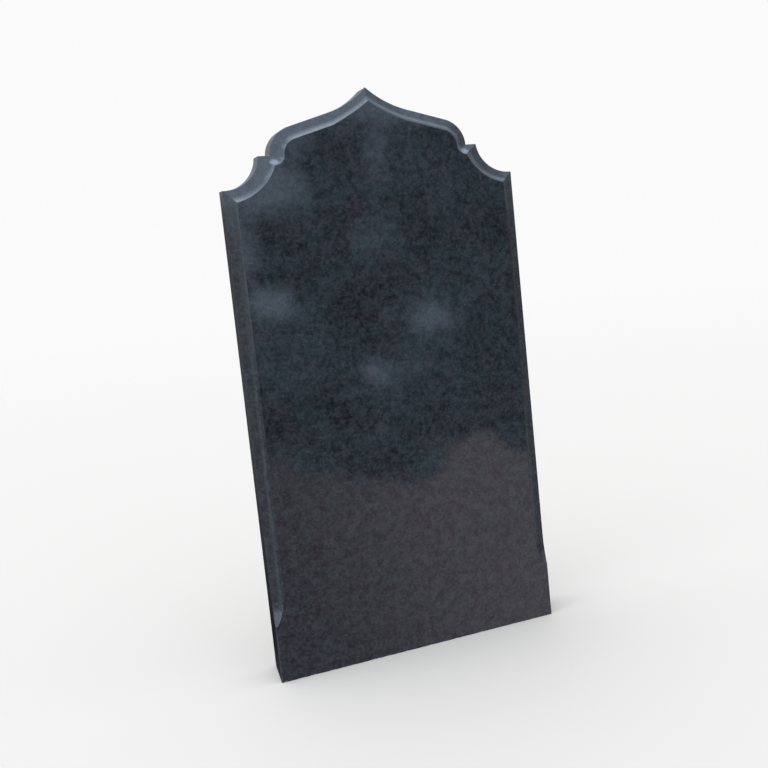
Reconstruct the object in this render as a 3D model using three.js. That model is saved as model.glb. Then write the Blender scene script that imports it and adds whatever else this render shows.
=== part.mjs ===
// Upright headstone: one solid slab of dark granite, standing on its own underside.
// Millimetres, Z up. The origin is the middle of the underside and the front looks along -Y.
// The top is a double ogee brow that rises to a peak between two small square lugs, over hollowed
// shoulders. A moulding follows the front edge over the top and down both sides, and runs out to
// the plain arris a hand's breadth above the ground.

import * as THREE from "three";

// Slab
const height = 1000;
const width = 500;
const thickness = 80;

// Head, from the peak down to the shoulder
const peakRise = 20; // peak above the point where the two brow lines would meet
const browSlope = 16.6; // degrees
const browHollowRadius = 167; // hollow stretch that sweeps up to the peak
const browRoundRadius = 48; // round stretch that turns down to the lug
const lugWidth = 19; // flat top of the lug
const lugHeight = 53; // lug above the shoulder
const shoulderRadius = 59; // hollow under the lug
const shoulderFlat = 3; // square ledge at the shoulder's outer corner

// Moulding round the front edge, from the outside in
const bandWidth = 11; // gently sloping band
const bandRise = 3.5;
const coveWidth = 9; // steeper cove between the band and the face
const coveRise = 8.5;
const coveStartAngle = 22; // degrees from the face, where the cove leaves the band
const lugShare = 0.85; // width of the moulding on the lug's top, as a share of its full width

// Foot of the moulding
const plainFoot = 98; // square-edged stretch above the ground
const runOut = 58; // length over which the moulding fades into the arris

// Small eased arris of the plain edges
const arris = 3;

// Steps in each round stretch
const shoulderSteps = 14;
const cornerSteps = 5;
const roundSteps = 10;
const hollowSteps = 12;
const coveSteps = 4;
const runOutSteps = 8;

// Points closer together than one part of a millimetre in this many are the same point
const pointsPerMillimetre = 10000;

// Height on the centre line from which every edge of the face and of the back is in plain sight
const eyeHeight = 250;

const radians = THREE.MathUtils.degToRad;

// Evenly spaced values from first to last, both included.
function spread(first, last, steps) {
  return Array.from({ length: steps + 1 }, (_, i) => first + ((last - first) * i) / steps);
}

// The places and radii that fix the right half of the head, worked out down from the peak.
function headLayout() {
  const slope = radians(browSlope);
  const up = new THREE.Vector2(Math.sin(slope), Math.cos(slope));
  const inward = new THREE.Vector2(-Math.cos(slope), Math.sin(slope));
  const peak = new THREE.Vector2(0, height);
  const meeting = new THREE.Vector2(0, height - peakRise);

  // The brow's hollow touches the brow line and passes through the peak.
  const rise = peakRise * up.y;
  const along = peakRise * inward.y - Math.sqrt(rise * (2 * browHollowRadius - rise));
  const hollowCentre = meeting.clone().addScaledVector(inward, along).addScaledVector(up, browHollowRadius);

  // The shoulder's hollow ends on the lug, level with its top.
  const shoulderX = width / 2 - shoulderFlat;
  const lugAngle = Math.asin((shoulderRadius - lugHeight) / shoulderRadius);
  const rootX = shoulderX - shoulderRadius * Math.cos(lugAngle) - lugWidth;

  // The brow's round touches the brow line from below and stands upright on the lug.
  const roundX = rootX - browRoundRadius;
  const lugTop = meeting.y - (browRoundRadius + roundX * up.x) / up.y;
  const roundCentre = new THREE.Vector2(roundX, lugTop);
  const shoulderTop = lugTop - lugHeight;
  const shoulderCentre = new THREE.Vector2(shoulderX, shoulderTop + shoulderRadius);
  return { slope, peak, hollowCentre, roundCentre, shoulderCentre, rootX, lugTop, shoulderTop };
}

const head = headLayout();

// Right half of the head's outline moved inward by inset, from the shoulder's corner to the peak.
function headOutline(inset) {
  const points = [];
  const cornerX = width / 2 - inset;

  // Shoulder: the ledge, if any is left, then the hollow up to the lug's corner.
  const drop = inset * lugShare;
  const hollow = shoulderRadius + inset;
  const startX = Math.min(cornerX, head.shoulderCentre.x);
  const startAngle = Math.acos((head.shoulderCentre.x - startX) / hollow);
  const endAngle = Math.asin((head.shoulderCentre.y - head.lugTop + drop) / hollow);
  points.push([cornerX, head.shoulderCentre.y - hollow * Math.sin(startAngle)]);
  for (const angle of spread(startAngle, endAngle, shoulderSteps)) {
    points.push([
      head.shoulderCentre.x - hollow * Math.cos(angle),
      head.shoulderCentre.y - hollow * Math.sin(angle),
    ]);
  }

  // Lug: its top runs in to the root of the brow, and the moulding swings round that inner corner.
  for (const angle of spread(0, Math.PI / 2, cornerSteps)) {
    points.push([head.rootX - inset * Math.sin(angle), head.lugTop - drop * Math.cos(angle)]);
  }

  // Brow: the round, and then the hollow, which ends on the centre line.
  const round = browRoundRadius - inset;
  for (const angle of spread(0, Math.PI / 2 - head.slope, roundSteps)) {
    points.push([
      head.roundCentre.x + round * Math.cos(angle),
      head.roundCentre.y + round * Math.sin(angle),
    ]);
  }
  const sweep = browHollowRadius + inset;
  const peakAngle = Math.asin(head.hollowCentre.x / sweep);
  for (const angle of spread(head.slope, peakAngle, hollowSteps)) {
    points.push([
      head.hollowCentre.x - sweep * Math.sin(angle),
      head.hollowCentre.y - sweep * Math.cos(angle),
    ]);
  }
  return points;
}

// Stations of the front edge from the lip to the face: how far each lies in from the outline and
// back from the face, where the moulding is whole and where the edge is plain.
function edgeStations() {
  const lip = bandRise + coveRise;
  const stations = [{ inset: 0, depth: lip, plainInset: 0, plainDepth: arris }];

  // The cove is an arc whose chord joins the band's inner edge to the face.
  const chordAngle = Math.atan2(coveRise, coveWidth);
  const halfTurn = chordAngle - radians(coveStartAngle);
  const radius = Math.hypot(coveWidth, coveRise) / (2 * Math.sin(halfTurn));
  const first = chordAngle - halfTurn;
  for (const angle of spread(first, chordAngle + halfTurn, coveSteps)) {
    const across = radius * (Math.sin(angle) - Math.sin(first));
    const climb = radius * (Math.cos(first) - Math.cos(angle));
    stations.push({
      inset: bandWidth + across,
      depth: coveRise - climb,
      plainInset: arris,
      plainDepth: 0,
    });
  }
  return stations;
}

// How whole the moulding is at each height of the side: nothing at the foot's top, all of it at
// the end of the run-out, on the arc of a round cutter that lifts off the stone.
function sideHeights() {
  const heights = [{ z: 0, share: 0 }];
  for (const step of spread(0, 1, runOutSteps)) {
    heights.push({ z: plainFoot + runOut * step, share: 1 - (1 - step) ** 2 });
  }
  return heights;
}

// A closed ring round the slab for one station of an edge, from the right foot over the peak to
// the left foot. The depth is measured from the face along faceY towards the inside.
function ring(station, faceY, inwardY) {
  const half = sideHeights().map(({ z, share }) => {
    const inset = THREE.MathUtils.lerp(station.plainInset, station.inset, share);
    const depth = THREE.MathUtils.lerp(station.plainDepth, station.depth, share);
    return new THREE.Vector3(width / 2 - inset, faceY + inwardY * depth, z);
  });
  const y = faceY + inwardY * station.depth;
  for (const [x, z] of headOutline(station.inset)) {
    half.push(new THREE.Vector3(x, y, z));
  }
  half.at(-1).x = 0;
  const other = half.slice(0, -1).reverse().map((p) => new THREE.Vector3(-p.x, p.y, p.z));
  return [...half, ...other];
}

// Collects triangles over shared vertices and leaves out those that have shrunk to a line.
class Skin {
  constructor() {
    this.positions = [];
    this.indices = [];
    this.known = new Map();
  }

  vertex(p) {
    const key = [p.x, p.y, p.z].map((v) => Math.round(v * pointsPerMillimetre)).join();
    if (!this.known.has(key)) {
      this.known.set(key, this.positions.length / 3);
      this.positions.push(p.x, p.y, p.z);
    }
    return this.known.get(key);
  }

  triangle(a, b, c) {
    const corners = [a, b, c].map((p) => this.vertex(p));
    if (new Set(corners).size === 3) this.indices.push(...corners);
  }

  // Strip between two rings with the same number of points.
  strip(outer, inner) {
    outer.forEach((a, i) => {
      const next = (i + 1) % outer.length;
      this.triangle(a, outer[next], inner[next]);
      this.triangle(a, inner[next], inner[i]);
    });
  }

  // Flat cap as a fan round one point inside it.
  cap(loop, eye) {
    loop.forEach((a, i) => this.triangle(a, loop[(i + 1) % loop.length], eye));
  }

  geometry() {
    const result = new THREE.BufferGeometry();
    result.setAttribute("position", new THREE.Float32BufferAttribute(this.positions, 3));
    result.setIndex(this.indices);
    result.computeVertexNormals();
    return result;
  }
}

function headstoneGeometry() {
  const front = -thickness / 2;
  const back = thickness / 2;
  const skin = new Skin();

  // Front: the moulding's rings, then the face.
  const frontRings = edgeStations().map((station) => ring(station, front, 1));
  for (let i = 1; i < frontRings.length; i++) skin.strip(frontRings[i - 1], frontRings[i]);

  skin.cap(frontRings.at(-1), new THREE.Vector3(0, front, eyeHeight));

  // Back: a plain slab with its arris eased all round.
  const plain = [
    { inset: 0, depth: arris, plainInset: 0, plainDepth: arris },
    { inset: arris, depth: 0, plainInset: arris, plainDepth: 0 },
  ];
  const [backOuter, backInner] = plain.map((station) => ring(station, back, -1));
  skin.strip(backOuter, frontRings[0]);
  skin.strip(backInner, backOuter);
  skin.cap(backInner.slice().reverse(), new THREE.Vector3(0, back, eyeHeight));
  return skin.geometry();
}

const granite = new THREE.MeshStandardMaterial({ color: 0x2b3036, roughness: 0.22, metalness: 0 });

const stone = new THREE.Mesh(headstoneGeometry(), granite);
stone.name = "headstone";

const group = new THREE.Group();
group.add(stone);

export default group;
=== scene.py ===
# Looks of an upright headstone of polished dark granite. Metres, Z up, the front looks along -Y.
import math

import bpy
from mathutils import Matrix, Vector, noise


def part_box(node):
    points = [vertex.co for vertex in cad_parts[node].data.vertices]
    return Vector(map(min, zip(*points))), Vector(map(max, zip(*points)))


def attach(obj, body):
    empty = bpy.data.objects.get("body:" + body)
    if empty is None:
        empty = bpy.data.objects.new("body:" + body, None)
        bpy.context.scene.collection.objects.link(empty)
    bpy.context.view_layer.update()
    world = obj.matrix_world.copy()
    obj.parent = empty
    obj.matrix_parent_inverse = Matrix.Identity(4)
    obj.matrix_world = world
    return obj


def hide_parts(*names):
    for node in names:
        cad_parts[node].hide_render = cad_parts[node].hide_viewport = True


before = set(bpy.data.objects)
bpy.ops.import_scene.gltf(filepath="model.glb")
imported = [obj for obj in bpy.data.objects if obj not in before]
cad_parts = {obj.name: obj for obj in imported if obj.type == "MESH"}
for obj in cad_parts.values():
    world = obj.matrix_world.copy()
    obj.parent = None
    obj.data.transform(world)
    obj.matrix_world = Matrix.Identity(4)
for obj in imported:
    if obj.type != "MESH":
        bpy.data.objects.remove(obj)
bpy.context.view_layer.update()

# Slab, from the frame
NODE = "headstone"
slab_low, slab_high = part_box(NODE)
WIDTH = slab_high.x - slab_low.x
HEIGHT = slab_high.z - slab_low.z
FRONT = slab_low.y
BACK = slab_high.y
GROUND = slab_low.z

# Head, from the peak down to the shoulder
PEAK_RISE = 0.020
BROW_SLOPE = math.radians(16.6)
BROW_HOLLOW = 0.167
BROW_ROUND = 0.048
LUG_WIDTH = 0.019
LUG_HEIGHT = 0.053
SHOULDER_HOLLOW = 0.059
SHOULDER_FLAT = 0.003

# Moulding round the front edge, from the outside in
BAND_WIDTH = 0.011
BAND_RISE = 0.0035
COVE_WIDTH = 0.009
COVE_RISE = 0.0085
COVE_START = math.radians(22)
PLAIN_FOOT = 0.098
RUN_OUT = 0.058

# How wide the moulding is on the lug, at the peak and on the left round and shoulder, and how much
# it widens under the lug's corner
LUG_SHARE = 0.85
PEAK_SHARE = 0.9
LEFT_SHARE = 1.12
CORNER_SPREAD = 0.25

# Rounding of the arrises, and the angle from which an edge stays sharp
FOOT_ARRIS = 0.003
BACK_ARRIS = 0.003
LIP_ARRIS = 0.0014
FACE_ARRIS = 0.0007
SHARP_ANGLE = math.radians(25)

# Bottom edge: chips along the front as (x, half width, height)
CHIPS = [
    (-0.2445, 0.0055, 0.0042), (-0.216, 0.009, 0.0016), (-0.196, 0.006, 0.0024), (-0.163, 0.005, 0.0010),
    (-0.128, 0.004, 0.0014), (-0.088, 0.010, 0.0020), (-0.066, 0.006, 0.0028), (-0.030, 0.004, 0.0010),
    (0.014, 0.006, 0.0012), (0.061, 0.004, 0.0016), (0.108, 0.007, 0.0018), (0.122, 0.004, 0.0010),
    (0.171, 0.005, 0.0012), (0.214, 0.004, 0.0009), (0.2465, 0.0035, 0.0022),
]
CHIP_STEEPNESS = 1.8
CHIP_LEAST = 0.75
CHIP_UNEVEN = 0.5
CHIP_WAVES = 900
CHIP_ROW = 3
RAGGED = 0.0004
RAGGED_WAVES = 300
FOOT_SPACING = 0.0018

# Steps in each round stretch
SHOULDER_STEPS = 40
CORNER_STEPS = 14
ROUND_STEPS = 28
HOLLOW_STEPS = 32
RUN_OUT_STEPS = 24
COVE_STEPS = 12
ARRIS_STEPS = 5

# Points that round to the same place on this grid are one vertex.
POINTS_PER_METRE = 1e7

# Finishes: name, lightness, even veil over the colour, roughness, height of the grain
FINISHES = [
    ("polished granite", 1.0, 0.0, 0.05, 0.000005),
    ("honed granite", 1.6, 0.012, 0.45, 0.00004),
    ("sawn granite", 2.5, 0.06, 0.8, 0.0002),
]
POLISHED, HONED, SAWN = range(len(FINISHES))
STONE_IOR = 1.54

# Grain: crystals and three layers of clouds, each with its scale and its weight in the mix
CRYSTAL_SCALE = 430
CRYSTAL_WEIGHT = 0.10
FINE_SCALE = 700
FINE_WEIGHT = 0.13
CLUMP_SCALE = 185
CLUMP_WEIGHT = 0.80
BROAD_SCALE = 70
BROAD_WEIGHT = 0.66
GRAIN_DETAIL = 2
GRAIN_COLOURS = [
    (0.62, (0.0033, 0.0034, 0.0037)), (0.84, (0.0128, 0.0130, 0.0136)), (1.0, (0.0208, 0.0211, 0.0221)),
]
HUE_SCALE = 32
HUE_DETAIL = 3
HUES = [(0.35, (0.90, 1.04, 1.02)), (0.65, (1.10, 0.96, 1.02))]
FLECK_EDGES = (0.965, 0.985)
FLECK_STRENGTH = 0.22
FLECK_COLOUR = (0.06, 0.066, 0.072, 1)
ROUGHNESS_SPREAD = 0.5

# Painted highlight: a light, matte patch in the moulding's two inner corners, where a bright spot shows:
# middle, half width and half height
CORNER_HIGHLIGHT_PLACE = (0.1645, 0.882)
CORNER_HIGHLIGHT_SIZE = (0.0068, 0.0060)
CORNER_HIGHLIGHT_EDGES = (1.8, 0.8)
CORNER_HIGHLIGHT_DEPTH = -0.02
# Colour of the painted highlight in the inner corners
PAINTED_HIGHLIGHT_COLOUR = (0.135, 0.135, 0.147, 1)
CORNER_HIGHLIGHT_ROUGHNESS = 0.6

# Floor and background
FLOOR_REACH = 7.0
FLOOR_FADE_START = 1.0
FLOOR_COLOUR = (0.465, 0.386, 0.318, 1)
FLOOR_ROUGHNESS = 0.9
BACKGROUND = (0.96, 0.96, 0.96, 1)

# What the polish mirrors, as directions from the stone in degrees: azimuth 0 is out of the face and
# positive to the right. The sky is (elevation, colour). Each panel is azimuth, half width, its
# softness, low and high edge, their softness, colour.
STRAIGHT_UP = 90
HALF_TURN = 180
SKY = [
    (0, (0.72, 0.82, 0.94)), (25, (0.88, 1.05, 1.25)), (40, (1.5, 1.82, 2.2)), (52, (2.25, 2.72, 3.3)),
    (70, (3.2, 3.85, 4.6)), (90, (4.3, 5.0, 5.9)),
]
PANELS = [
    (130, 25, 25, 20, 75, 10, (0.95, 1.1, 1.35)),
    (68, 12, 6, 15, 27, 3, (1.35, 1.65, 2.05)),
    (-62, 52, 8, 1.5, 30, 2.5, (1.75, 2.15, 2.7)),
    (-10, 42, 8, 14, 44, 8, (1.70, 2.15, 2.75)),
    (-85, 32, 14, 27, 43, 5, (2.9, 3.5, 4.3)),
    (0, 200, 2, -95, -2, 2, (0.55, 0.60, 0.71)),
    (-85, 45, 3, -95, -1, 3, (0.72, 0.82, 0.97)),
    (-108, 20, 12, -95, -7, 3, (0.29, 0.33, 0.40)),
    (85, 45, 3, -95, 0, 3, (0.38, 0.42, 0.49)),
    (128, 36, 12, -12, 0, 4, (0.11, 0.12, 0.14)),
    (180, 40, 3, -95, 14, 3, (0.28, 0.29, 0.31)),
    (180, 40, 1.5, -95, 1.5, 1.5, (0.065, 0.066, 0.07)),
    (180, 40, 7, -95, -17, 7, (0.005, 0.005, 0.005)),
    (180, 40, 7, -95, -22.4, 0.8, (0.035, 0.035, 0.037)),
]

# The ground in front: its colours to the left and to the right, the azimuths where they are whole,
# how much a degree of elevation adds to the azimuth, and where the ground ends aside and upward
GROUND_LEFT = (0.31, 0.28, 0.38, 1)
GROUND_RIGHT = (0.88, 0.80, 0.88, 1)
GROUND_AZIMUTHS = (-8, 10)
GROUND_LEAN = 0.5
GROUND_ASIDE = (50, 20)
GROUND_TOP = (-8, -11)

# The hedge in front: its top, middle and half width, how soft and ragged its edges are, and its foot
# as (azimuth, elevation)
HEDGE_TOP = 8
HEDGE_TOP_BLUR = 2
HEDGE_TOP_RAGGED = 6
HEDGE_MIDDLE = 12
HEDGE_HALF = 26
HEDGE_SIDE_BLUR = 6
HEDGE_FOOT = [
    (4, -12.5), (7.9, -13.7), (11.7, -14.8), (14, -14.8), (15.6, -12.9), (17.5, -12.8), (19.4, -14.2),
]
HEDGE_FOOT_BLUR = 0.25
HEDGE_FOOT_RAGGED = 3.2
HEDGE_COLOURS = [(0.38, (0.08, 0.09, 0.15)), (0.5, (0.19, 0.27, 0.36)), (0.62, (0.31, 0.47, 0.59))]
RAGGED_CLOUD = {"scale": 42, "detail": 4, "roughness": 0.65}
LEAF_CLOUD = {"scale": 22, "detail": 5, "roughness": 0.65}

# Gaps in the hedge that show the sky: azimuth, elevation, half width, half height, strength
GAPS = [
    (6.3, -4.5, 2.1, 1.5, 1.0), (14.9, -6.0, 1.8, 1.3, 0.85), (11.4, -8.8, 1.0, 1.1, 0.75),
    (10.4, -9.6, 1.4, 0.8, 0.35), (13.6, -8.7, 2.9, 0.8, 0.25), (11.7, -1.3, 1.5, 1.3, 0.35),
    (12.6, 3.2, 0.8, 3.5, 0.5), (6.8, 1.9, 2.5, 2.3, 0.85), (12.5, -5.6, 1.2, 0.9, 0.3),
    (7.7, 5.2, 1.9, 1.6, 0.5), (4.9, -1.5, 1.2, 4.2, 0.75), (12.5, 6.2, 2.6, 2.2, 0.85),
    (14.6, 5.7, 2.4, 1.5, 0.9), (8.6, 4.2, 1.5, 1.7, 0.5), (5.8, 1.0, 1.5, 1.3, 0.7),
]
GAP_EDGES = (1.0, 0.1)
GAP_RAGGED = 1.8
GAP_COLOUR = (1.25, 1.6, 2.05, 1)

# Camera: place, aim and lens that give the photograph's view
CAMERA_PLACE = Vector((-0.3937, -1.8144, 0.7883))
CAMERA_HEADING = math.radians(23.928)
CAMERA_RISE = math.radians(-6.445)
CAMERA_ROLL = math.radians(-4.606)
CAMERA_LENS = 48.114
CAMERA_SENSOR = 36
CAMERA_SHIFT = (-0.2767, -0.0968)

# The colour sockets of a mix node
MIX_SHARE, MIX_UNDER, MIX_OVER = 0, 6, 7
MIX_RESULT = 2

QUARTER = math.pi / 2
MOST_WEIGHT = 100
CLOUD_MIDDLE = 0.5


def spread(first, last, steps):
    """Evenly spaced values from first to last, both included."""
    return [first + (last - first) * i / steps for i in range(steps + 1)]


# Outline

def head_layout():
    """The places that fix the right half of the head, worked out down from the peak."""
    up = Vector((math.sin(BROW_SLOPE), math.cos(BROW_SLOPE)))
    inward = Vector((-math.cos(BROW_SLOPE), math.sin(BROW_SLOPE)))
    meeting = Vector((0, HEIGHT - PEAK_RISE))
    rise = PEAK_RISE * up.y
    along = PEAK_RISE * inward.y - math.sqrt(rise * (2 * BROW_HOLLOW - rise))
    hollow = meeting + inward * along + up * BROW_HOLLOW
    shoulder_x = WIDTH / 2 - SHOULDER_FLAT
    lug_angle = math.asin((SHOULDER_HOLLOW - LUG_HEIGHT) / SHOULDER_HOLLOW)
    root_x = shoulder_x - SHOULDER_HOLLOW * math.cos(lug_angle) - LUG_WIDTH
    round_x = root_x - BROW_ROUND
    lug_top = meeting.y - (BROW_ROUND + round_x * up.x) / up.y
    return {
        "hollow": hollow,
        "round": Vector((round_x, lug_top)),
        "shoulder": Vector((shoulder_x, lug_top - LUG_HEIGHT + SHOULDER_HOLLOW)),
        "root_x": root_x,
        "lug_top": lug_top,
    }


HEAD = head_layout()


def shoulder_points(inset, share):
    """The shoulder from its outer corner to the lug; it widens towards the lug's corner."""
    centre = HEAD["shoulder"]
    corner_x = WIDTH / 2 - inset
    radius = SHOULDER_HOLLOW + inset * share
    start = math.acos((centre.x - min(corner_x, centre.x)) / radius)
    wide = radius + inset * CORNER_SPREAD
    end = math.asin((centre.y - HEAD["lug_top"] + inset * LUG_SHARE) / wide)
    points = [(corner_x, centre.y - radius * math.sin(start))]
    for angle in spread(start, end, SHOULDER_STEPS):
        reach = radius + (wide - radius) * ((start - angle) / (start - end)) ** 2
        points.append((centre.x - reach * math.cos(angle), centre.y - reach * math.sin(angle)))
    return points


def root_points(inset, share, shoulder_end_x):
    """The swing round the inner corner at the lug's root."""
    swing_x = min(HEAD["root_x"], shoulder_end_x)
    across = swing_x - HEAD["root_x"] + inset * share
    points = []
    for angle in spread(0, QUARTER, CORNER_STEPS):
        drop = inset * LUG_SHARE * math.cos(angle)
        points.append((swing_x - across * math.sin(angle), HEAD["lug_top"] - drop))
    return points


def brow_points(inset, share):
    """The round and then the hollow, along which the width changes to the one at the peak."""
    centre = HEAD["round"]
    radius = BROW_ROUND - inset * share
    points = []
    for angle in spread(0, QUARTER - BROW_SLOPE, ROUND_STEPS):
        points.append((centre.x + radius * math.cos(angle), centre.y + radius * math.sin(angle)))

    centre = HEAD["hollow"]
    peak_angle = math.asin(centre.x / (BROW_HOLLOW + inset * PEAK_SHARE))
    for step in spread(0, 1, HOLLOW_STEPS):
        angle = BROW_SLOPE + (peak_angle - BROW_SLOPE) * step
        radius = BROW_HOLLOW + inset * (PEAK_SHARE + (share - PEAK_SHARE) * (1 - step) ** 3)
        points.append((centre.x - radius * math.sin(angle), centre.y - radius * math.cos(angle)))
    points[-1] = (0.0, points[-1][1])
    return points


def head_outline(inset, share):
    """Right half of the head's outline moved inward by inset, from the shoulder's corner to the peak.

    The share makes the shoulder and the round wider or narrower than the sides.
    """
    shoulder = shoulder_points(inset, share)
    return shoulder + root_points(inset, share, shoulder[-1][0]) + brow_points(inset, share)


# Cross-section of the front edge: each station is (inset, depth)

def fillet(before, corner, after, radius):
    """Points of an arc that rounds a corner between two straight stretches."""
    before, corner, after = Vector(before), Vector(corner), Vector(after)
    to_before, to_after = (before - corner).normalized(), (after - corner).normalized()
    half = to_before.angle(to_after) / 2
    centre = corner + (to_before + to_after).normalized() * (radius / math.sin(half))
    first = corner + to_before * (radius / math.tan(half)) - centre
    last = corner + to_after * (radius / math.tan(half)) - centre
    turn = first.angle(last)
    points = []
    for angle in spread(0, turn, ARRIS_STEPS):
        share = (math.sin(turn - angle) / math.sin(turn), math.sin(angle) / math.sin(turn))
        points.append(tuple(centre + first * share[0] + last * share[1]))
    return points


def square_fillet(radius):
    """The rounded corner between a side and the face where there is no moulding."""
    return fillet((0, 1), (0, 0), (1, 0), radius)


def cove_points():
    """Points of the cove, from the band's inner edge to the face."""
    chord_angle = math.atan2(COVE_RISE, COVE_WIDTH)
    half_turn = chord_angle - COVE_START
    radius = math.hypot(COVE_WIDTH, COVE_RISE) / (2 * math.sin(half_turn))
    points = []
    for angle in spread(COVE_START, chord_angle + half_turn, COVE_STEPS):
        across = radius * (math.sin(angle) - math.sin(COVE_START))
        climb = radius * (math.cos(COVE_START) - math.cos(angle))
        points.append((BAND_WIDTH + across, COVE_RISE - climb))
    return points


def front_stations():
    """Pairs of stations, where the moulding is whole and where the edge is plain."""
    lip = BAND_RISE + COVE_RISE
    cove = cove_points()
    lip_arc = fillet((0, lip + 1), (0, lip), cove[0], LIP_ARRIS)
    face_arc = fillet(cove[-2], cove[-1], (cove[-1][0] + 1, 0), FACE_ARRIS)
    plain_arc = square_fillet(FOOT_ARRIS)
    whole = lip_arc + cove[:-1] + face_arc
    plain = plain_arc + [plain_arc[-1]] * (len(whole) - len(plain_arc))
    return list(zip(whole, plain))


def side_heights():
    """Height and the moulding's share of its full size, from the ground to the end of the run-out."""
    heights = [(GROUND, 0.0)]
    for step in spread(0, 1, RUN_OUT_STEPS):
        heights.append((PLAIN_FOOT + RUN_OUT * step, 1 - (1 - step) ** 2))
    return heights


def chipped(x):
    """How far the front's bottom edge is broken away at x."""
    height = RAGGED * (1 + noise.noise(Vector((x * RAGGED_WAVES, 0, 0))))
    for middle, half_width, most in CHIPS:
        share = 1 - abs(x - middle) / half_width
        if share > 0:
            uneven = CHIP_LEAST + CHIP_UNEVEN * noise.noise(Vector((x * CHIP_WAVES, CHIP_ROW, 0)))
            height += most * min(1, share * CHIP_STEEPNESS) * uneven
    return height


def foot_edge(reach, y, broken):
    """Points of the bottom edge from left to right, raised by a share of the chips."""
    points = []
    for x in spread(-reach, reach, round(WIDTH / FOOT_SPACING))[1:-1]:
        points.append(Vector((x, y, GROUND + broken * chipped(x))))
    return points


def ring(whole, plain, face_y, inward_y, broken):
    """A closed ring round the slab for one station, from the right foot over the peak to the left foot."""
    side = []
    for z, share in side_heights():
        inset = plain[0] + (whole[0] - plain[0]) * share
        depth = plain[1] + (whole[1] - plain[1]) * share
        side.append(Vector((WIDTH / 2 - inset, face_y + inward_y * depth, z)))
    head_y = face_y + inward_y * whole[1]
    right = side + [Vector((x, head_y, z)) for x, z in head_outline(whole[0], 1)]
    left = side + [Vector((x, head_y, z)) for x, z in head_outline(whole[0], LEFT_SHARE)]
    left = [Vector((-p.x, p.y, p.z)) for p in reversed(left[:-1])]
    return right + left + foot_edge(side[0].x, side[0].y, broken)


# Stone

class Skin:
    """Collects faces over shared vertices and leaves out those that have shrunk to a line."""

    def __init__(self):
        self.points = []
        self.faces = []
        self.slots = []
        self.known = {}

    def vertex(self, p):
        key = tuple(round(v * POINTS_PER_METRE) for v in p)
        if key not in self.known:
            self.known[key] = len(self.points)
            self.points.append(tuple(p))
        return self.known[key]

    def face(self, corners, slot):
        ids = []
        for p in corners:
            number = self.vertex(p)
            if number not in ids:
                ids.append(number)
        if len(ids) > 2:
            self.faces.append(ids)
            self.slots.append(slot)

    def strip(self, outer, inner):
        """Polished quads between two rings; those between low points lie in the sawn underside."""
        underside_top = GROUND + FOOT_ARRIS * 2
        for i, a in enumerate(outer):
            b, c, d = outer[(i + 1) % len(outer)], inner[(i + 1) % len(outer)], inner[i]
            under = max(p.z for p in (a, b, c, d)) < underside_top
            self.face((a, b, c, d), SAWN if under else POLISHED)


def stone_skin():
    """The slab's faces: the moulded front, the sides and the plain back."""
    skin = Skin()
    fronts = []
    for whole, plain in front_stations():
        # The chips are deepest at the face and gone at the end of the arris.
        broken = max(0, 1 - plain[1] / FOOT_ARRIS) ** 2
        fronts.append(ring(whole, plain, FRONT, 1, broken))
    for outer, inner in zip(fronts, fronts[1:]):
        skin.strip(outer, inner)
    skin.face(fronts[-1], POLISHED)
    backs = [ring(station, station, BACK, -1, 0) for station in square_fillet(BACK_ARRIS)]
    skin.strip(backs[0], fronts[0])
    for outer, inner in zip(backs, backs[1:]):
        skin.strip(inner, outer)
    skin.face(list(reversed(backs[-1])), HONED)
    return skin


def make_stone():
    skin = stone_skin()
    mesh = bpy.data.meshes.new("stone")
    mesh.from_pydata(skin.points, [], skin.faces)
    mesh.validate()
    for polygon, slot in zip(mesh.polygons, skin.slots):
        polygon.material_index = slot
        polygon.use_smooth = True
    mesh.set_sharp_from_angle(angle=SHARP_ANGLE)
    made = bpy.data.objects.new("stone", mesh)
    bpy.context.scene.collection.objects.link(made)
    weighted = made.modifiers.new("flat faces", "WEIGHTED_NORMAL")
    weighted.mode = "FACE_AREA"
    weighted.keep_sharp = True
    weighted.weight = MOST_WEIGHT
    for finish in FINISHES:
        mesh.materials.append(granite(*finish))
    return made


# Node helpers

def add(tree, kind, inputs=None, **settings):
    """A shader node with its settings and its inputs' values or links."""
    made = tree.nodes.new(kind)
    for name, value in settings.items():
        setattr(made, name, value)
    for key, value in (inputs or {}).items():
        socket = made.inputs[key]
        if isinstance(value, bpy.types.NodeSocket):
            tree.links.new(value, socket)
        else:
            socket.default_value = value
    return made


def maths(tree, operation, *values):
    return add(tree, "ShaderNodeMath", dict(enumerate(values)), operation=operation).outputs[0]


def smooth(tree, value, none_at, whole_at):
    """0 at and before the first place, 1 from the second on and a soft step between."""
    inputs = {"Value": value, "From Min": none_at, "From Max": whole_at, "To Min": 0, "To Max": 1}
    return add(tree, "ShaderNodeMapRange", inputs, interpolation_type="SMOOTHSTEP").outputs[0]


def blend(tree, share, under, over, kind="MIX"):
    inputs = {MIX_SHARE: share, MIX_UNDER: under, MIX_OVER: over}
    made = add(tree, "ShaderNodeMix", inputs, data_type="RGBA", blend_type=kind)
    return made.outputs[MIX_RESULT]


def ramp(tree, factor, stops):
    """A colour ramp through (place, grey or colour) stops."""
    made = add(tree, "ShaderNodeValToRGB", {0: factor})
    elements = made.color_ramp.elements
    while len(elements) < len(stops):
        elements.new(0.5)
    for element, (place, colour) in zip(elements, stops):
        element.position = place
        rgb = colour if isinstance(colour, tuple) else (colour,) * 3
        element.color = (*rgb, 1)
    return made.outputs[0]


def cloud(tree, place, scale, detail, roughness=0.5):
    """Soft noise from 0 to 1, about CLOUD_MIDDLE."""
    inputs = {"Vector": place, "Scale": scale, "Detail": detail, "Roughness": roughness}
    return add(tree, "ShaderNodeTexNoise", inputs).outputs[0]


def distance(tree, x, y):
    """Length of a flat step of x and y."""
    return maths(tree, "SQRT", maths(tree, "MULTIPLY_ADD", x, x, maths(tree, "MULTIPLY", y, y)))


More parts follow.
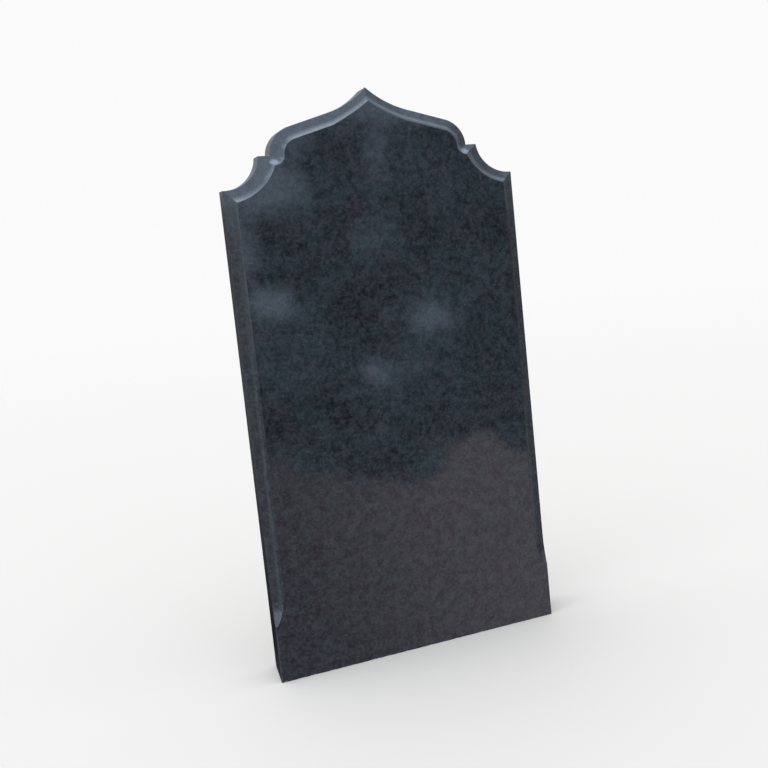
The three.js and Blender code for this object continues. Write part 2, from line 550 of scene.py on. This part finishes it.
def split(tree, place):
    """The three coordinates of a place."""
    return add(tree, "ShaderNodeSeparateXYZ", {0: place}).outputs


def new_material(name):
    material = bpy.data.materials.new(name)
    material.use_nodes = True
    tree = material.node_tree
    tree.nodes.clear()
    shader = add(tree, "ShaderNodeBsdfPrincipled")
    output = add(tree, "ShaderNodeOutputMaterial", {0: shader.outputs[0]})
    return material, tree, shader, output


# Granite

def painted_corner_highlight(tree, place):
    """1 in the two inner corners, where a bright spot is painted in as a light matte patch, and 0
    elsewhere.
    """
    x, y, z = split(tree, place)
    across = maths(tree, "SUBTRACT", maths(tree, "ABSOLUTE", x), CORNER_HIGHLIGHT_PLACE[0])
    across = maths(tree, "DIVIDE", across, CORNER_HIGHLIGHT_SIZE[0])
    above = maths(tree, "DIVIDE", maths(tree, "SUBTRACT", z, CORNER_HIGHLIGHT_PLACE[1]), CORNER_HIGHLIGHT_SIZE[1])
    ragged = cloud(tree, place, FINE_SCALE, GRAIN_DETAIL)
    far = maths(tree, "ADD", distance(tree, across, above), ragged)
    front = maths(tree, "LESS_THAN", y, CORNER_HIGHLIGHT_DEPTH)
    return maths(tree, "MULTIPLY", smooth(tree, far, *CORNER_HIGHLIGHT_EDGES), front)


def granite(name, lightness, veil, roughness, grain_bump):
    """Dark granite: fine crystals over a near-black ground, with a few light flecks."""
    material, tree, shader, _ = new_material(name)
    place = add(tree, "ShaderNodeTexCoord").outputs["Object"]
    crystals = add(tree, "ShaderNodeTexVoronoi", {"Vector": place, "Scale": CRYSTAL_SCALE})
    pick = add(tree, "ShaderNodeSeparateColor", {0: crystals.outputs["Color"]}).outputs

    fine = maths(tree, "MULTIPLY", cloud(tree, place, FINE_SCALE, GRAIN_DETAIL), FINE_WEIGHT)
    mixed = maths(tree, "MULTIPLY_ADD", pick[0], CRYSTAL_WEIGHT, fine)
    for scale, weight in ((CLUMP_SCALE, CLUMP_WEIGHT), (BROAD_SCALE, BROAD_WEIGHT)):
        mixed = maths(tree, "MULTIPLY_ADD", cloud(tree, place, scale, GRAIN_DETAIL), weight, mixed)

    stops = [(at, tuple(v * lightness + veil for v in rgb)) for at, rgb in GRAIN_COLOURS]
    colour = ramp(tree, mixed, stops)
    hue = ramp(tree, cloud(tree, place, HUE_SCALE, HUE_DETAIL), HUES)
    colour = blend(tree, 1, colour, hue, "MULTIPLY")
    fleck = maths(tree, "MULTIPLY", smooth(tree, pick[1], *FLECK_EDGES), FLECK_STRENGTH)
    colour = blend(tree, fleck, colour, FLECK_COLOUR)
    least_rough = roughness * (1 - ROUGHNESS_SPREAD / 2)
    rough = maths(tree, "MULTIPLY_ADD", pick[2], roughness * ROUGHNESS_SPREAD, least_rough)

    # Painted highlight: a light grey, matte patch in the two inner corners
    corner_highlight = painted_corner_highlight(tree, place)
    colour = blend(tree, corner_highlight, colour, PAINTED_HIGHLIGHT_COLOUR)
    rough = maths(tree, "MAXIMUM", rough, maths(tree, "MULTIPLY", corner_highlight, CORNER_HIGHLIGHT_ROUGHNESS))

    tree.links.new(colour, shader.inputs["Base Color"])
    shader.inputs["IOR"].default_value = STONE_IOR
    tree.links.new(rough, shader.inputs["Roughness"])
    bump = add(tree, "ShaderNodeBump", {"Strength": 1, "Distance": grain_bump, "Height": mixed})
    tree.links.new(bump.outputs[0], shader.inputs["Normal"])
    return material


# Floor

def pale_floor():
    """Pale, even and without gloss; it fades out towards the background."""
    material, tree, shader, output = new_material("pale floor")
    shader.inputs["Base Color"].default_value = FLOOR_COLOUR
    shader.inputs["Roughness"].default_value = FLOOR_ROUGHNESS
    shader.inputs["Specular IOR Level"].default_value = 0
    place = add(tree, "ShaderNodeTexCoord").outputs["Object"]
    away = add(tree, "ShaderNodeVectorMath", {0: place}, operation="LENGTH").outputs["Value"]
    fade = smooth(tree, away, FLOOR_FADE_START, FLOOR_REACH)
    clear = add(tree, "ShaderNodeBsdfTransparent").outputs[0]
    mix = add(tree, "ShaderNodeMixShader", {0: fade, 1: shader.outputs[0], 2: clear})
    tree.links.new(mix.outputs[0], output.inputs[0])
    return material


def make_floor():
    """A plain pale floor that the polish doesn't mirror."""
    corners = [(-1, -1), (1, -1), (1, 1), (-1, 1)]
    mesh = bpy.data.meshes.new("floor")
    mesh.from_pydata([(x * FLOOR_REACH, y * FLOOR_REACH, GROUND) for x, y in corners], [], [(0, 1, 2, 3)])
    mesh.materials.append(pale_floor())
    floor = bpy.data.objects.new("floor", mesh)
    floor.visible_glossy = False
    bpy.context.scene.collection.objects.link(floor)


# Surroundings

def aside(tree, turn, azimuth):
    """Degrees to either side of an azimuth, whichever way round is shorter."""
    off = maths(tree, "SUBTRACT", turn, azimuth)
    off = maths(tree, "WRAP", off, HALF_TURN, -HALF_TURN)
    return maths(tree, "ABSOLUTE", off)


def sky(tree, rise):
    """The sky from the horizon to straight up."""
    brightest = max(max(rgb) for _, rgb in SKY)
    stops = [(at / STRAIGHT_UP, tuple(v / brightest for v in rgb)) for at, rgb in SKY]
    colour = ramp(tree, maths(tree, "DIVIDE", rise, STRAIGHT_UP), stops)
    return add(tree, "ShaderNodeVectorMath", {0: colour, "Scale": brightest}, operation="SCALE").outputs[0]


def add_panels(tree, rise, turn, total):
    for azimuth, half, fade, bottom, top, blur, colour in PANELS:
        share = smooth(tree, aside(tree, turn, azimuth), half + fade, half - fade)
        share = maths(tree, "MULTIPLY", share, smooth(tree, rise, bottom - blur, bottom + blur))
        share = maths(tree, "MULTIPLY", share, smooth(tree, rise, top + blur, top - blur))
        total = blend(tree, share, total, (*colour, 1))
    return total


def add_ground(tree, rise, turn, total):
    """The ground in front lightens to the right and away from the stone."""
    leaning = maths(tree, "MULTIPLY_ADD", rise, GROUND_LEAN, turn)
    colour = blend(tree, smooth(tree, leaning, *GROUND_AZIMUTHS), GROUND_LEFT, GROUND_RIGHT)
    share = smooth(tree, aside(tree, turn, HEDGE_MIDDLE), *GROUND_ASIDE)
    share = maths(tree, "MULTIPLY", share, smooth(tree, rise, *GROUND_TOP))
    return blend(tree, share, total, colour)


def add_hedge(tree, place, rise, turn, ragged, total):
    """A dark hedge stands in front."""
    lowest, highest = min(e for _, e in HEDGE_FOOT), max(e for _, e in HEDGE_FOOT)
    first, last = HEDGE_FOOT[0][0], HEDGE_FOOT[-1][0]
    along = add(tree, "ShaderNodeMapRange", {"Value": turn, "From Min": first, "From Max": last}).outputs[0]
    stops = [((a - first) / (last - first), (e - lowest) / (highest - lowest)) for a, e in HEDGE_FOOT]
    foot = maths(tree, "MULTIPLY_ADD", ramp(tree, along, stops), highest - lowest, lowest)
    foot = maths(tree, "MULTIPLY_ADD", ragged, HEDGE_FOOT_RAGGED, foot)
    above = smooth(tree, maths(tree, "SUBTRACT", rise, foot), -HEDGE_FOOT_BLUR, HEDGE_FOOT_BLUR)
    crown = maths(tree, "MULTIPLY_ADD", ragged, HEDGE_TOP_RAGGED, HEDGE_TOP)
    below = smooth(tree, maths(tree, "SUBTRACT", rise, crown), HEDGE_TOP_BLUR, -HEDGE_TOP_BLUR)
    off = aside(tree, turn, HEDGE_MIDDLE)
    within = smooth(tree, off, HEDGE_HALF + HEDGE_SIDE_BLUR, HEDGE_HALF - HEDGE_SIDE_BLUR)
    share = maths(tree, "MULTIPLY", within, maths(tree, "MULTIPLY", above, below))
    return blend(tree, share, total, ramp(tree, cloud(tree, place, **LEAF_CLOUD), HEDGE_COLOURS))


def add_gaps(tree, rise, turn, ragged, total):
    """The sky shows through the hedge's gaps."""
    for azimuth, elevation, across, upward, strength in GAPS:
        x = maths(tree, "DIVIDE", maths(tree, "SUBTRACT", turn, azimuth), across)
        y = maths(tree, "DIVIDE", maths(tree, "SUBTRACT", rise, elevation), upward)
        far = maths(tree, "MULTIPLY_ADD", ragged, GAP_RAGGED, distance(tree, x, y))
        share = maths(tree, "MULTIPLY", smooth(tree, far, *GAP_EDGES), strength)
        total = blend(tree, share, total, GAP_COLOUR)
    return total


def make_world():
    """Surroundings that the stone mirrors and is lit by; the camera sees a plain pale background."""
    world = bpy.data.worlds.new("studio")
    bpy.context.scene.world = world
    world.use_nodes = True
    tree = world.node_tree
    tree.nodes.clear()
    place = add(tree, "ShaderNodeTexCoord").outputs["Generated"]
    x, y, z = split(tree, place)
    degree = math.degrees(1)
    rise = maths(tree, "MULTIPLY", maths(tree, "ARCSINE", z), degree)
    turn = maths(tree, "ARCTAN2", x, maths(tree, "MULTIPLY", y, -1))
    turn = maths(tree, "MULTIPLY", turn, degree)
    ragged = maths(tree, "SUBTRACT", cloud(tree, place, **RAGGED_CLOUD), CLOUD_MIDDLE)

    total = add_panels(tree, rise, turn, sky(tree, rise))
    total = add_ground(tree, rise, turn, total)
    total = add_hedge(tree, place, rise, turn, ragged, total)
    total = add_gaps(tree, rise, turn, ragged, total)

    studio = add(tree, "ShaderNodeBackground", {"Color": total, "Strength": 1}).outputs[0]
    plain = add(tree, "ShaderNodeBackground", {"Color": BACKGROUND, "Strength": 1}).outputs[0]
    seen = add(tree, "ShaderNodeLightPath").outputs["Is Camera Ray"]
    mix = add(tree, "ShaderNodeMixShader", {0: seen, 1: studio, 2: plain})
    add(tree, "ShaderNodeOutputWorld", {0: mix.outputs[0]})


# Camera

def make_camera():
    forward = Vector((
        math.sin(CAMERA_HEADING) * math.cos(CAMERA_RISE),
        math.cos(CAMERA_HEADING) * math.cos(CAMERA_RISE),
        math.sin(CAMERA_RISE),
    ))
    level = forward.cross(Vector((0, 0, 1))).normalized()
    upright = level.cross(forward)
    right = level * math.cos(CAMERA_ROLL) + upright * math.sin(CAMERA_ROLL)
    up = right.cross(forward)
    data = bpy.data.cameras.new("camera")
    data.lens = CAMERA_LENS
    data.sensor_width = CAMERA_SENSOR
    data.shift_x, data.shift_y = CAMERA_SHIFT
    camera = bpy.data.objects.new("camera", data)
    camera.matrix_world = Matrix((right, up, -forward)).transposed().to_4x4()
    camera.location = CAMERA_PLACE
    bpy.context.scene.collection.objects.link(camera)
    bpy.context.scene.camera = camera


make_camera()
make_world()
make_floor()

stone = make_stone()
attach(stone, "root")
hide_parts(NODE)

bpy.context.scene.view_settings.view_transform = "Standard"
